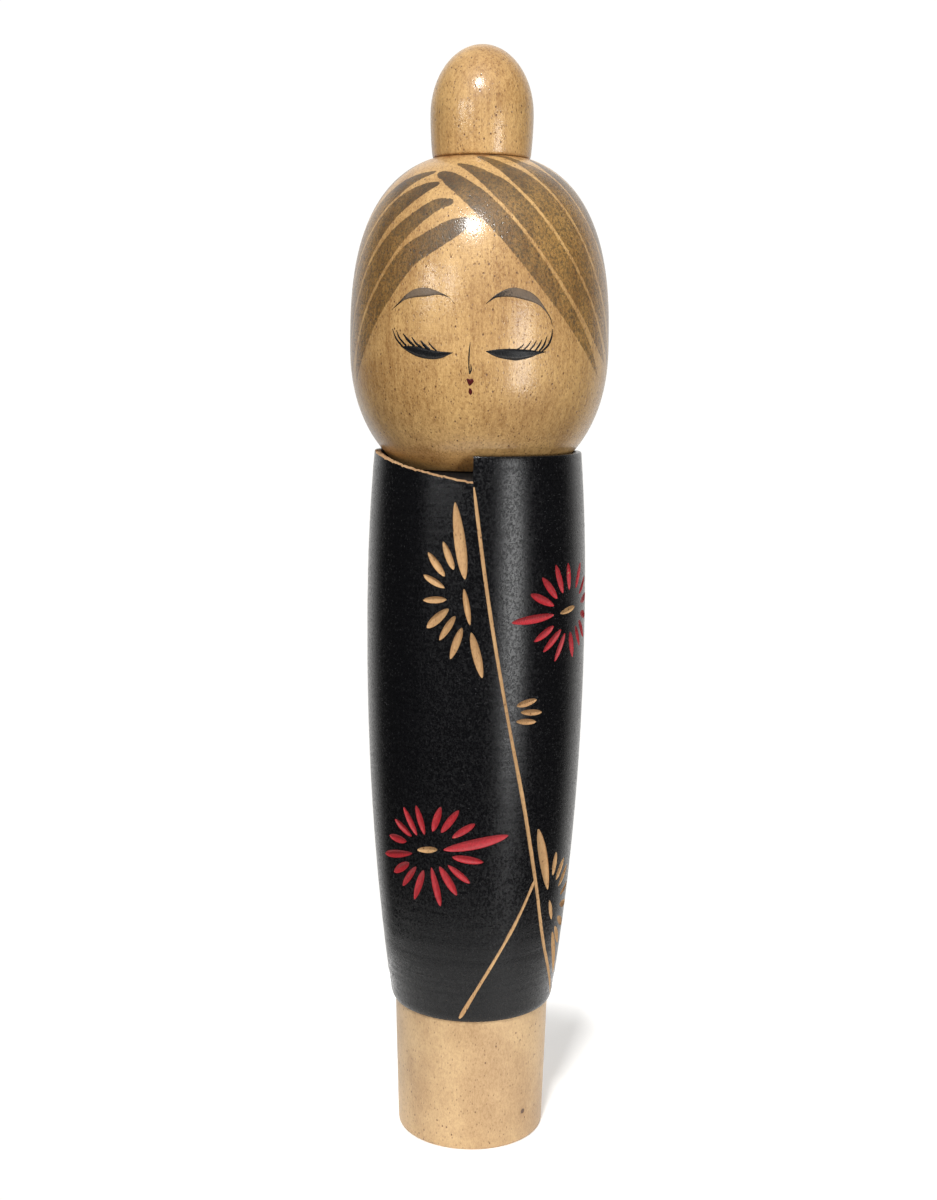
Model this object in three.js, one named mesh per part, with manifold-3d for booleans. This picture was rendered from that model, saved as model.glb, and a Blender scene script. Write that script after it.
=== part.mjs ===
// Turned wooden kokeshi doll with a hair bun, made of five pieces.
// The body, with its foot, kimono and collar well, the head, the bun, and the two dowels inside.
// Millimetres, +Z up, the face looks along -Y, and the origin is the centre of the foot's underside.

import * as THREE from "three";
import { mergeVertices } from "three/addons/utils/BufferGeometryUtils.js";
import Module from "manifold-3d";

const wasm = await Module();
wasm.setup();

// Driving dimensions
const GAP = 0.3;                 // between pieces that touch
const FOOT_BOTTOM_R = 17.2;
const FOOT_TOP_R = 18.15;
const FOOT_CHAMFER = 0.5;
const KIMONO_BOTTOM_Z = 32;
const KIMONO_ROUND = 2;          // height of the rounded-under lower edge
const KIMONO_ROUND_IN = 0.6;     // how far that edge goes in
const KIMONO_MAX_R = 25.1;
const KIMONO_MAX_Z = 121;
const KIMONO_BOTTOM_TAPER = 6.05; // radius lost from the widest place to the lower edge
const KIMONO_TOP_TAPER = 1.6;    // radius lost from the widest place to the rim
const KIMONO_BOTTOM_POWER = 2.1; // how late each taper sets in
const KIMONO_TOP_POWER = 2.2;
const KIMONO_STEPS = 12;
const KIMONO_ROUND_STEPS = 4;
const RIM_Z = 161.3;
const RIM_EDGE = 0.3;
const RIM_WALL = 1.4;
const WELL_LEAD_IN = 0.4;        // the well's mouth opens by this much
const WELL_LEAD_DEPTH = 1.8;
const WELL_FLOOR_Z = 153.3;
const WELL_FLOOR_ROUND = 1;

const COLLAR_CUT_Z = 155.4;      // height of the slanted cut at the front centre
const COLLAR_CUT_SIDE_SLOPE = 0.158; // rise for each mm towards the doll's right
const COLLAR_CUT_BACK_SLOPE = 0.1;  // rise for each mm towards the back
const COLLAR_STEP_X = 0.5;

const HEAD_R = 29.05;
const HEAD_MID_Z = 184.5;
const HEAD_UP = 42.2;            // from the widest place to the crown's pole
const HEAD_DOWN = 32.5;
const HEAD_UP_POWER = 2.6;
const HEAD_DOWN_POWER = 2.2;
const HEAD_DOWN_STEPS = 8;
const HEAD_UP_STEPS = 9;
const CROWN_FLAT_Z = 225.2;
const UNDERCUT_Z = 157.6;        // where the head's underside turns in to its neck
const UNDERCUT_RISE = 0.5;
const NECK_R = 16.5;

const BUN_R = 11.4;
const BUN_MID_Z = 235;
const BUN_TOP_Z = 250;
const BUN_BOTTOM_IN = 0.55;
const BUN_EDGE = 0.4;
const BUN_SIDE_STEPS = 4;
const BUN_DOME_STEPS = 8;

const NECK_DOWEL_R = 6;
const NECK_DOWEL_LOW_Z = 128;
const NECK_DOWEL_HIGH_Z = 180;
const BUN_DOWEL_R = 2.5;
const BUN_DOWEL_LOW_Z = 212;
const BUN_DOWEL_HIGH_Z = 239;
const DOWEL_CHAMFER = 0.6;

const BIG_SEGMENTS = 64;
const BUN_SEGMENTS = 36;
const DOWEL_SEGMENTS = 20;

// Carving, in mm round the kimono and up it. A flower has its centre's angle and height, the
// stroke at its centre as length and slope, and its petals as root x, root z, tip x, tip z from
// that centre.
const GOUGE_DEPTH = 0.7;
const GOUGE_WIDTH = 1.7;
const CENTRE_WIDTH = 1.6;
const GOUGE_SEGMENTS = 6;
const FLOWERS = [
  {
    angle: -1, z: 129, centre: [8, -80],
    petals: [[-0.5, 6, -3, 22.5], [-3, 8, -5.5, 14], [-5, 6.5, -9, 11.5], [-5, 4, -10, 6.5],
      [-4.5, 1.5, -10, 1], [-4, -0.5, -9, -5], [-2.5, -2, -6, -7.5], [-1, -4.5, -3.5, -11.5],
      [1, -5.5, 3.5, -15.5]],
  },
  {
    angle: 58, z: 127, centre: [6, 8],
    petals: [[-5, -0.5, -16, -1.5], [-5, 1.5, -11.5, 4.5], [-4, 3, -8.5, 8], [-2, 4, -4.5, 10.5],
      [0.5, 4.5, 0, 10.5], [3.5, 4.5, 6.5, 10], [5.5, 3, 11, 6.5], [6.5, 1, 13, 2],
      [6.5, -1.5, 12.5, -3], [5.5, -3, 10, -7.5], [3.5, -4, 6.5, -9], [1, -5, 2.5, -11],
      [-1, -5, -4.5, -11], [-2.5, -4, -8, -8.5], [-5, -3, -10.5, -6]],
  },
  {
    angle: -22.5, z: 73.5, centre: [5.2, 10],
    petals: [[-4, -1.5, -14, -4], [-5.5, 1, -11.5, 1], [-4, 2.5, -9, 5.5], [-2.5, 3, -6, 9],
      [-0.5, 3.5, -2.5, 10], [1.5, 4.5, 3.5, 10.5], [3.5, 4.5, 7.5, 10], [6, 3.5, 11, 7],
      [4, 0.5, 18.5, 4], [6, -1, 13, -2], [5, -3, 10, -7], [3, -3.5, 7, -10],
      [1, -4, 3, -13], [-1, -5, -4, -12.5], [-3, -4.5, -7.5, -10], [-5, -4, -10.5, -7.5]],
  },
  {
    angle: 58, z: 57, centre: [5.5, -70],
    petals: [[-2, 5.5, -6.5, 21], [-0.5, 8.5, 0, 14], [1, 7, 4, 11.5], [2.5, 5, 7, 9],
      [4, 2.5, 10, 4], [4.5, 0, 11, -1.5], [4, -3, 9.5, -6.5], [3, -5, 7.5, -10.5],
      [2, -6, 7.5, -18]],
  },
];
const SPARE_STROKES = { angle: 33, z: 105, strokes: [[1.5, 3, -3.5, 2], [3, 0, -2.5, 0.5],
  [1.5, -2, -3.5, -1.5]] };

// Seam grooves, as angle and height
const SEAM = [[1.1, 156.6], [10, 129], [20, 105], [31, 84], [41.5, 66], [55, 48.5], [79, 33]];
const SECOND_SEAM = [[41.5, 66], [31, 57], [18, 47.7], [-5.4, 32.3]];
const SEAM_R = 0.7;
const SEAM_PROUD = 0.45;         // height of the cutter's axis over the surface
const SEAM_STEPS_PER_PLACE = 3;

const PAINTED_BLACK = { color: 0x25272b, roughness: 0.5, metalness: 0 };
const WAXED_WOOD = { color: 0xd9b27a, roughness: 0.42, metalness: 0 };
const BARE_WOOD = { color: 0xdcc09a, roughness: 0.8, metalness: 0 };

const radians = THREE.MathUtils.degToRad;

function kimonoRadius(z) {
  if (z > KIMONO_MAX_Z) {
    const rise = (z - KIMONO_MAX_Z) / (RIM_Z - KIMONO_MAX_Z);
    return KIMONO_MAX_R - KIMONO_TOP_TAPER * Math.pow(rise, KIMONO_TOP_POWER);
  }
  const fall = (KIMONO_MAX_Z - z) / (KIMONO_MAX_Z - KIMONO_BOTTOM_Z);
  return KIMONO_MAX_R - KIMONO_BOTTOM_TAPER * Math.pow(fall, KIMONO_BOTTOM_POWER);
}

// A point of the kimono's surface, at an angle from the front, a height, and an offset outwards
function onKimono(degrees, z, outwards = 0) {
  const r = kimonoRadius(z) + outwards;
  const turn = radians(degrees);
  return new THREE.Vector3(r * Math.sin(turn), -r * Math.cos(turn), z);
}

// Turns an outline of [radius, z] points about the Z axis
function turned(outline, segments) {
  const points = outline.map(([r, z]) => new THREE.Vector2(r, z));
  return new THREE.LatheGeometry(points, segments).rotateX(Math.PI / 2);
}

// Points on a quarter of a superellipse, from its widest place towards its pole
function quarter(radius, height, power, midZ, fromAngle, toAngle, steps) {
  const points = [];
  for (let i = 0; i <= steps; i += 1) {
    const a = radians(fromAngle + ((toAngle - fromAngle) * i) / steps);
    const r = radius * Math.pow(Math.cos(a), 2 / power);
    points.push([r, midZ + height * Math.pow(Math.sin(a), 2 / power)]);
  }
  return points;
}

// The angle at which quarter() reaches a share of its full height
function quarterAngle(share, power) {
  return THREE.MathUtils.radToDeg(Math.asin(Math.pow(share, power / 2)));
}

function solid(geometry) {
  const bare = geometry.clone();
  bare.deleteAttribute("normal");
  bare.deleteAttribute("uv");
  const merged = mergeVertices(bare, 1e-4);
  return new wasm.Manifold(new wasm.Mesh({
    numProp: 3,
    vertProperties: new Float32Array(merged.attributes.position.array),
    triVerts: new Uint32Array(merged.index.array),
  }));
}

function geometryOf(manifold) {
  const mesh = manifold.getMesh();
  const geometry = new THREE.BufferGeometry();
  geometry.setAttribute("position", new THREE.BufferAttribute(mesh.vertProperties, 3));
  geometry.setIndex(new THREE.BufferAttribute(mesh.triVerts, 1));
  geometry.computeVertexNormals();
  return geometry;
}

// Body

function bodyBlank() {
  const foot = [[0, 0], [FOOT_BOTTOM_R - FOOT_CHAMFER, 0], [FOOT_BOTTOM_R, FOOT_CHAMFER],
    [FOOT_TOP_R, KIMONO_BOTTOM_Z]];
  const kimono = [];
  for (let i = 0; i <= KIMONO_ROUND_STEPS; i += 1) {
    const t = (i / KIMONO_ROUND_STEPS) * Math.PI / 2;
    const z = KIMONO_BOTTOM_Z + KIMONO_ROUND * (1 - Math.cos(t));
    kimono.push([kimonoRadius(z) - KIMONO_ROUND_IN * (1 - Math.sin(t)), z]);
  }
  const sideFrom = KIMONO_BOTTOM_Z + 2 * KIMONO_ROUND;
  const sideTo = RIM_Z - RIM_EDGE;
  for (let i = 0; i <= KIMONO_STEPS; i += 1) {
    const z = sideFrom + ((sideTo - sideFrom) * i) / KIMONO_STEPS;
    kimono.push([kimonoRadius(z), z]);
  }
  const rimOuter = kimonoRadius(RIM_Z);
  const mouthR = rimOuter - RIM_WALL;
  const wellR = mouthR - WELL_LEAD_IN;
  const well = [[rimOuter - RIM_EDGE, RIM_Z], [mouthR, RIM_Z], [wellR, RIM_Z - WELL_LEAD_DEPTH],
    [wellR, WELL_FLOOR_Z + WELL_FLOOR_ROUND], [wellR - WELL_FLOOR_ROUND, WELL_FLOOR_Z]];
  const socketR = NECK_DOWEL_R + GAP;
  const socket = [[socketR, WELL_FLOOR_Z], [socketR, NECK_DOWEL_LOW_Z - GAP],
    [0, NECK_DOWEL_LOW_Z - GAP]];
  return solid(turned([...foot, ...kimono, ...well, ...socket], BIG_SEGMENTS));
}

// The part of the collar's front, on the doll's right, that a slanted saw cut takes off
function collarOffcut() {
  const reach = KIMONO_MAX_R * 2;
  const block = new THREE.BoxGeometry(reach, reach, reach);
  block.translate(-reach / 2, -reach / 2, reach / 2);
  const corners = block.attributes.position;
  for (let i = 0; i < corners.count; i += 1) {
    if (corners.getZ(i) > reach / 2) continue;
    const fromFront = corners.getY(i) + KIMONO_MAX_R;
    corners.setZ(i, fromFront * COLLAR_CUT_BACK_SLOPE - corners.getX(i) * COLLAR_CUT_SIDE_SLOPE);
  }
  return solid(block.translate(COLLAR_STEP_X, 0, COLLAR_CUT_Z));
}

// One push of a gouge: an ellipsoid bent round the kimono, half sunk in it
function gouge(angle, z, [rootX, rootZ, tipX, tipZ], width) {
  const ball = new THREE.SphereGeometry(1, GOUGE_SEGMENTS, GOUGE_SEGMENTS);
  const place = ball.attributes.position;
  const halfLength = Math.hypot(tipX - rootX, tipZ - rootZ) / 2;
  const slope = Math.atan2(tipZ - rootZ, tipX - rootX);
  const degreesPerMm = THREE.MathUtils.radToDeg(1 / kimonoRadius(z));
  for (let i = 0; i < place.count; i += 1) {
    const along = place.getY(i) * halfLength;
    const across = place.getX(i) * width / 2;
    const x = (rootX + tipX) / 2 + along * Math.cos(slope) + across * Math.sin(slope);
    const up = (rootZ + tipZ) / 2 + along * Math.sin(slope) - across * Math.cos(slope);
    const point = onKimono(angle + x * degreesPerMm, z + up, place.getZ(i) * GOUGE_DEPTH);
    place.setXYZ(i, point.x, point.y, point.z);
  }
  return solid(ball);
}

// The stroke at a flower's centre, as a gouge from end to end
function centreStroke([length, slope]) {
  const x = (length / 2) * Math.cos(radians(slope));
  const z = (length / 2) * Math.sin(radians(slope));
  return [-x, -z, x, z];
}

function seamCutter(places) {
  const path = new THREE.CatmullRomCurve3(places.map(([a, z]) => onKimono(a, z, SEAM_PROUD)));
  const section = new THREE.Shape();
  section.absarc(0, 0, SEAM_R, 0, Math.PI * 2);
  return solid(new THREE.ExtrudeGeometry(section, {
    extrudePath: path, steps: places.length * SEAM_STEPS_PER_PLACE, curveSegments: 2,
    bevelEnabled: false,
  }));
}

function bodyGeometry() {
  let body = bodyBlank().subtract(collarOffcut());
  for (const seam of [SEAM, SECOND_SEAM]) body = body.subtract(seamCutter(seam));
  for (const flower of FLOWERS) {
    const centre = centreStroke(flower.centre);
    body = body.subtract(gouge(flower.angle, flower.z, centre, CENTRE_WIDTH));
    for (const petal of flower.petals) {
      body = body.subtract(gouge(flower.angle, flower.z, petal, GOUGE_WIDTH));
    }
  }
  for (const stroke of SPARE_STROKES.strokes) {
    body = body.subtract(gouge(SPARE_STROKES.angle, SPARE_STROKES.z, stroke, CENTRE_WIDTH));
  }
  return geometryOf(body);
}

// Head, bun and dowels

function headGeometry() {
  const seatZ = WELL_FLOOR_Z + GAP;
  const neckSocketR = NECK_DOWEL_R + GAP;
  const bunSocketR = BUN_DOWEL_R + GAP;
  const low = quarterAngle((HEAD_MID_Z - UNDERCUT_Z) / HEAD_DOWN, HEAD_DOWN_POWER);
  const high = quarterAngle((CROWN_FLAT_Z - HEAD_MID_Z) / HEAD_UP, HEAD_UP_POWER);
  const under = quarter(HEAD_R, -HEAD_DOWN, HEAD_DOWN_POWER, HEAD_MID_Z, low, 0,
    HEAD_DOWN_STEPS);
  const over = quarter(HEAD_R, HEAD_UP, HEAD_UP_POWER, HEAD_MID_Z, 0, high,
    HEAD_UP_STEPS).slice(1);
  const outline = [[0, NECK_DOWEL_HIGH_Z + GAP], [neckSocketR, NECK_DOWEL_HIGH_Z + GAP],
    [neckSocketR, seatZ], [NECK_R, seatZ], [NECK_R, UNDERCUT_Z + UNDERCUT_RISE], ...under, ...over,
    [bunSocketR, CROWN_FLAT_Z], [bunSocketR, BUN_DOWEL_LOW_Z - GAP],
    [0, BUN_DOWEL_LOW_Z - GAP]];
  return turned(outline, BIG_SEGMENTS);
}

function bunGeometry() {
  const bottomZ = CROWN_FLAT_Z + GAP;
  const socketR = BUN_DOWEL_R + GAP;
  const bottomR = BUN_R - BUN_BOTTOM_IN;
  const side = [];
  for (let i = 0; i < BUN_SIDE_STEPS; i += 1) {
    const z = bottomZ + BUN_EDGE + ((BUN_MID_Z - bottomZ - BUN_EDGE) * i) / BUN_SIDE_STEPS;
    const fall = (BUN_MID_Z - z) / (BUN_MID_Z - bottomZ);
    side.push([BUN_R - BUN_BOTTOM_IN * fall * fall, z]);
  }
  const dome = quarter(BUN_R, BUN_TOP_Z - BUN_MID_Z, 2, BUN_MID_Z, 0, 90, BUN_DOME_STEPS)
    .slice(0, -1);
  const outline = [[0, BUN_DOWEL_HIGH_Z + GAP], [socketR, BUN_DOWEL_HIGH_Z + GAP],
    [socketR, bottomZ], [bottomR - BUN_EDGE, bottomZ], ...side, ...dome, [0, BUN_TOP_Z]];
  return turned(outline, BUN_SEGMENTS);
}

function dowelGeometry(radius, lowZ, highZ) {
  const tip = radius - DOWEL_CHAMFER;
  return turned([[0, lowZ], [tip, lowZ], [radius, lowZ + DOWEL_CHAMFER],
    [radius, highZ - DOWEL_CHAMFER], [tip, highZ], [0, highZ]], DOWEL_SEGMENTS);
}

function piece(name, geometry, look) {
  const mesh = new THREE.Mesh(geometry, new THREE.MeshStandardMaterial(look));
  mesh.name = name;
  return mesh;
}

const doll = new THREE.Group();
doll.add(piece("body", bodyGeometry(), PAINTED_BLACK));
doll.add(piece("head", headGeometry(), WAXED_WOOD));
doll.add(piece("bun", bunGeometry(), WAXED_WOOD));
doll.add(piece("neck_dowel", dowelGeometry(NECK_DOWEL_R, NECK_DOWEL_LOW_Z, NECK_DOWEL_HIGH_Z),
  BARE_WOOD));
doll.add(piece("bun_dowel", dowelGeometry(BUN_DOWEL_R, BUN_DOWEL_LOW_Z, BUN_DOWEL_HIGH_Z),
  BARE_WOOD));

export default doll;
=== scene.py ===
# The looks of a turned wooden kokeshi doll: painted, carved and varnished wood.
import math

import bpy
import numpy as np
from mathutils import Matrix, Vector


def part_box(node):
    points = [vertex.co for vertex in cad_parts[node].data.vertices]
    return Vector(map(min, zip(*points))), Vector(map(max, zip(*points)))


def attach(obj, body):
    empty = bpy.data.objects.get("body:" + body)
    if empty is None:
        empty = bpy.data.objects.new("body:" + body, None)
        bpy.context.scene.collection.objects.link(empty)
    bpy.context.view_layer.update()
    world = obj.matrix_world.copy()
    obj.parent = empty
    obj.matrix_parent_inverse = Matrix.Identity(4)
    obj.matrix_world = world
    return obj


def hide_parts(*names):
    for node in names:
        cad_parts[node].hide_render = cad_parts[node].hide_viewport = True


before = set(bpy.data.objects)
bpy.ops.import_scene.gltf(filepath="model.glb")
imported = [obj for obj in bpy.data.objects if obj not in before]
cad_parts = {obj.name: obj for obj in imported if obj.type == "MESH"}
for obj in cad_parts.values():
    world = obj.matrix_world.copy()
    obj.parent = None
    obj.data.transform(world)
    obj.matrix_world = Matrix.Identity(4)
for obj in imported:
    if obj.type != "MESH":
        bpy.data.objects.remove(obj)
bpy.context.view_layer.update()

MM = 0.001
RANDOM = np.random.default_rng(11)

# Heights and radii in millimetres, read from the frame
BODY_HIGH = Vector(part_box("body")[1]) / MM
HEAD_LOW, HEAD_HIGH = (Vector(corner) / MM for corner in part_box("head"))
BUN_LOW, BUN_HIGH = (Vector(corner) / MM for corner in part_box("bun"))
RIM_Z = BODY_HIGH.z
KIMONO_MAX_R = BODY_HIGH.x
HEAD_R = HEAD_HIGH.x
CROWN_Z = HEAD_HIGH.z
BUN_R = BUN_HIGH.x

# The turned outlines' own shape, in millimetres
FOOT_BOTTOM_R = 17.2
FOOT_TOP_R = 18.15
FOOT_EDGE = 0.7
GAP = 0.3                # left between pieces that touch
KIMONO_BOTTOM_Z = 32
KIMONO_ROUND = 2
KIMONO_ROUND_IN = 0.6
KIMONO_MAX_Z = 121
KIMONO_BOTTOM_TAPER = 6.05
KIMONO_BOTTOM_POWER = 2.1
KIMONO_TOP_TAPER = 1.6
KIMONO_TOP_POWER = 2.2
RIM_WALL = 1.4
RIM_EDGE = 0.3
WELL_LEAD_IN = 0.4
WELL_LEAD_DEPTH = 1.8
WELL_FLOOR_Z = HEAD_LOW.z - GAP
WELL_FLOOR_ROUND = 1
SOCKET_R = 6.3
SOCKET_Z = 127.7
HEAD_MID_Z = 184.5
HEAD_UP = 42.2
HEAD_DOWN = 32.5
HEAD_UP_POWER = 2.6
HEAD_DOWN_POWER = 2.2
UNDERCUT_Z = 157.6
UNDERCUT_RISE = 0.5
NECK_R = 16.5
HEAD_SHADE_R = 17.5      # the neck and the underside get painted shade, a dark colour, as far out as this
BUN_MID_Z = 235
BUN_BOTTOM_IN = 0.55
BUN_EDGE = 0.5

# How deep the turning tool's rings are
FOOT_MARKS = 0.006
KIMONO_MARKS = 0.012
HEAD_MARKS = 0.004

# Extra rings on flat and straight stretches, so that no face is long and thin
FOOT_UNDER_RINGS = (0, 8, 14)
BODY_SOCKET_RINGS = (145, 136)
WELL_FLOOR_RINGS = (16, 11)
HEAD_SOCKET_RING = 168
NECK_RING = 155.5
BUN_SEAT_RING = 7

# Height between rings, steps round each piece, and the angle from which an edge is drawn sharp
FOOT_RING_STEP = 0.7
RING_STEP = 0.5
HEAD_RING_STEP = 0.3
CROWN_DEPTH = 4          # the flat top of the head, which has rings of its own
BODY_STEPS = 288
HEAD_STEPS = 320
BUN_STEPS = 192
BODY_SHARP = 32
HEAD_SHARP = 40

# The camera, from the doll's axis and base
CAMERA_TURN = 3.8        # degrees the doll's face is turned off the camera
CAMERA_AWAY = 360.7
CAMERA_HEIGHT = 181.7
CAMERA_ASIDE = 1.77
CAMERA_PITCH = 8.66
CAMERA_ROLL = 0.66
CAMERA_LENS = 47.37


# Turned outlines

def kimono_radius(z):
    """Radius of the kimono's barrel at a height."""
    rise = np.clip((z - KIMONO_MAX_Z) / (RIM_Z - KIMONO_MAX_Z), 0, None)
    fall = np.clip((KIMONO_MAX_Z - z) / (KIMONO_MAX_Z - KIMONO_BOTTOM_Z), 0, None)
    top = KIMONO_TOP_TAPER * rise**KIMONO_TOP_POWER
    return KIMONO_MAX_R - top - KIMONO_BOTTOM_TAPER * fall**KIMONO_BOTTOM_POWER


def foot_radius(z):
    """Radius of the foot at a height."""
    return FOOT_BOTTOM_R + (FOOT_TOP_R - FOOT_BOTTOM_R) * z / KIMONO_BOTTOM_Z


def head_radius(z):
    """Radius of the head at a height: two halves of superellipses."""
    up = np.clip((z - HEAD_MID_Z) / HEAD_UP, 0, 1)
    down = np.clip((HEAD_MID_Z - z) / HEAD_DOWN, 0, 1)
    over = (1 - up**HEAD_UP_POWER) ** (1 / HEAD_UP_POWER)
    under = (1 - down**HEAD_DOWN_POWER) ** (1 / HEAD_DOWN_POWER)
    return HEAD_R * over * under


def turning_marks(heights, depth):
    """The uneven fine rings that a turning tool leaves, in millimetres off the radius."""
    coarse = np.repeat(RANDOM.normal(size=len(heights) // 5 + 1), 5)[: len(heights)]
    return depth * (0.6 * RANDOM.normal(size=len(heights)) + 0.4 * coarse)


def quarter_turn(steps):
    """How far each point of a quarter circle is short of its two sides, as shares of its radius."""
    turns = [step / steps * math.pi / 2 for step in range(steps + 1)]
    return [(1 - math.sin(t), 1 - math.cos(t)) for t in turns]


def body_outline():
    """The whole body's outline from the middle of the foot, over the rim, down into the well."""
    foot_z = np.arange(1.5, KIMONO_BOTTOM_Z, FOOT_RING_STEP)
    foot_r = foot_radius(foot_z) + turning_marks(foot_z, FOOT_MARKS)
    outline = [(r, 0) for r in FOOT_UNDER_RINGS]
    outline.append((FOOT_BOTTOM_R - FOOT_EDGE, 0))
    outline += [(FOOT_BOTTOM_R - FOOT_EDGE * a, FOOT_EDGE * b) for a, b in quarter_turn(3)[1:]]
    outline += list(zip(foot_r, foot_z))
    outline.append((FOOT_TOP_R, KIMONO_BOTTOM_Z - 0.02))
    for a, b in quarter_turn(6):
        z = KIMONO_BOTTOM_Z + KIMONO_ROUND * b
        outline.append((kimono_radius(z) - KIMONO_ROUND_IN * a, z))
    side_low = KIMONO_BOTTOM_Z + KIMONO_ROUND + RING_STEP
    side_z = np.arange(side_low, RIM_Z - RIM_EDGE - 0.2, RING_STEP)
    outline += list(zip(kimono_radius(side_z) + turning_marks(side_z, KIMONO_MARKS) - 0.01, side_z))
    rim_r = kimono_radius(RIM_Z)
    outline += [(rim_r - RIM_EDGE * b, RIM_Z - RIM_EDGE * a) for a, b in quarter_turn(3)]
    well_r = rim_r - RIM_WALL
    outline += [(well_r + RIM_EDGE / 2, RIM_Z), (well_r, RIM_Z - RIM_EDGE / 2)]
    well_r -= WELL_LEAD_IN
    well_z = np.arange(RIM_Z - WELL_LEAD_DEPTH, WELL_FLOOR_Z + WELL_FLOOR_ROUND, -RING_STEP)
    outline += [(well_r, z) for z in well_z]
    outline += [(well_r - WELL_FLOOR_ROUND * b, WELL_FLOOR_Z + WELL_FLOOR_ROUND * a)
                for a, b in quarter_turn(3)]
    outline += [(r, WELL_FLOOR_Z) for r in (*WELL_FLOOR_RINGS, SOCKET_R)]
    outline += [(SOCKET_R, z) for z in (*BODY_SOCKET_RINGS, SOCKET_Z)]
    outline.append((0, SOCKET_Z))
    return outline


def head_outline():
    """The head's outline, from the top of its neck socket round to the bottom of its bun socket."""
    neck_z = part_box("neck_dowel")[1][2] / MM + GAP
    bun_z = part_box("bun_dowel")[0][2] / MM - GAP
    bun_socket_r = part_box("bun_dowel")[1][0] / MM + GAP
    crown_low = CROWN_Z - CROWN_DEPTH
    heights = np.concatenate([np.arange(UNDERCUT_Z, crown_low, HEAD_RING_STEP),
                              crown_low + np.linspace(0, 1, 16) * CROWN_DEPTH])
    radii = head_radius(heights) + turning_marks(heights, HEAD_MARKS)
    outline = [(0, neck_z), (SOCKET_R, neck_z), (SOCKET_R, HEAD_SOCKET_RING), (SOCKET_R, HEAD_LOW.z)]
    outline += [(NECK_R, HEAD_LOW.z), (NECK_R, NECK_RING), (NECK_R, UNDERCUT_Z + UNDERCUT_RISE)]
    outline.append((radii[0] - UNDERCUT_RISE, UNDERCUT_Z))
    outline += list(zip(radii, heights))
    outline += [(BUN_SEAT_RING, CROWN_Z), (bun_socket_r, CROWN_Z), (bun_socket_r, bun_z), (0, bun_z)]
    return outline


def bun_outline():
    """The bun's outline: a short drawn-in side under a dome."""
    socket_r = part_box("bun_dowel")[1][0] / MM + GAP
    socket_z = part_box("bun_dowel")[1][2] / MM + GAP
    bottom_r = BUN_R - BUN_BOTTOM_IN
    outline = [(0, socket_z), (socket_r, socket_z), (socket_r, BUN_LOW.z)]
    outline.append((BUN_SEAT_RING, BUN_LOW.z))
    outline += [(bottom_r - BUN_EDGE * a, BUN_LOW.z + BUN_EDGE * b) for a, b in quarter_turn(3)]
    for z in np.arange(BUN_LOW.z + 2 * BUN_EDGE, BUN_MID_Z, RING_STEP):
        fall = (BUN_MID_Z - z) / (BUN_MID_Z - BUN_LOW.z)
        outline.append((BUN_R - BUN_BOTTOM_IN * fall * fall, z))
    for step in range(48):
        turn = step / 48 * math.pi / 2
        outline.append((BUN_R * math.cos(turn), BUN_MID_Z + (BUN_HIGH.z - BUN_MID_Z) * math.sin(turn)))
    outline.append((0, BUN_HIGH.z))
    return outline


# Meshes

def mesh_object(name, points, faces, materials, slots=None):
    """A smooth-shaded object from points in millimetres."""
    mesh = bpy.data.meshes.new(name)
    mesh.from_pydata((np.asarray(points) * MM).tolist(), [], faces)
    for material in materials:
        mesh.materials.append(material)
    if slots is not None:
        mesh.polygons.foreach_set("material_index", np.asarray(slots, dtype=np.int32))
    mesh.polygons.foreach_set("use_smooth", np.ones(len(mesh.polygons), dtype=bool))
    mesh.update()
    thing = bpy.data.objects.new(name, mesh)
    bpy.context.scene.collection.objects.link(thing)
    return thing


def turned(outline, segments):
    """Points and faces of an outline of (radius, height) turned about the Z axis."""
    turns = np.arange(segments) / segments * 2 * math.pi
    points, rings, faces = [], [], []
    for r, z in outline:
        first = len(points)
        if r == 0:
            points.append((0, 0, z))
            rings.append([first] * segments)
        else:
            points += [(r * math.sin(t), -r * math.cos(t), z) for t in turns]
            rings.append(list(range(first, first + segments)))
    for low, high in zip(rings, rings[1:]):
        for i in range(segments):
            j = (i + 1) % segments
            corners = [low[i], low[j], high[j], high[i]]
            if low[i] == low[j]:
                corners = [low[i], high[j], high[i]]
            elif high[i] == high[j]:
                corners = [low[i], low[j], high[i]]
            faces.append(corners)
    return points, faces


def on_surface(radius_at, degrees, z, outwards=0.0):
    """A point at an angle from the front and a height, a little off a turned surface."""
    r = radius_at(z) + outwards
    turn = math.radians(degrees)
    return np.array([r * math.sin(turn), -r * math.cos(turn), z])


def smooth_path(points, count):
    """Evenly numbered points on a Catmull-Rom curve through the given ones."""
    points = np.asarray(points, dtype=float)
    padded = np.vstack([2 * points[0] - points[1], points, 2 * points[-1] - points[-2]])
    path = []
    for t in np.linspace(0, len(points) - 1, count):
        i = min(int(t), len(points) - 2)
        f = t - i
        a, b, c, d = padded[i : i + 4]
        path.append(0.5 * (2 * b + (c - a) * f + (2 * a - 5 * b + 4 * c - d) * f**2
                           + (3 * b - a - 3 * c + d) * f**3))
    return np.array(path)


# Materials

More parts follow.
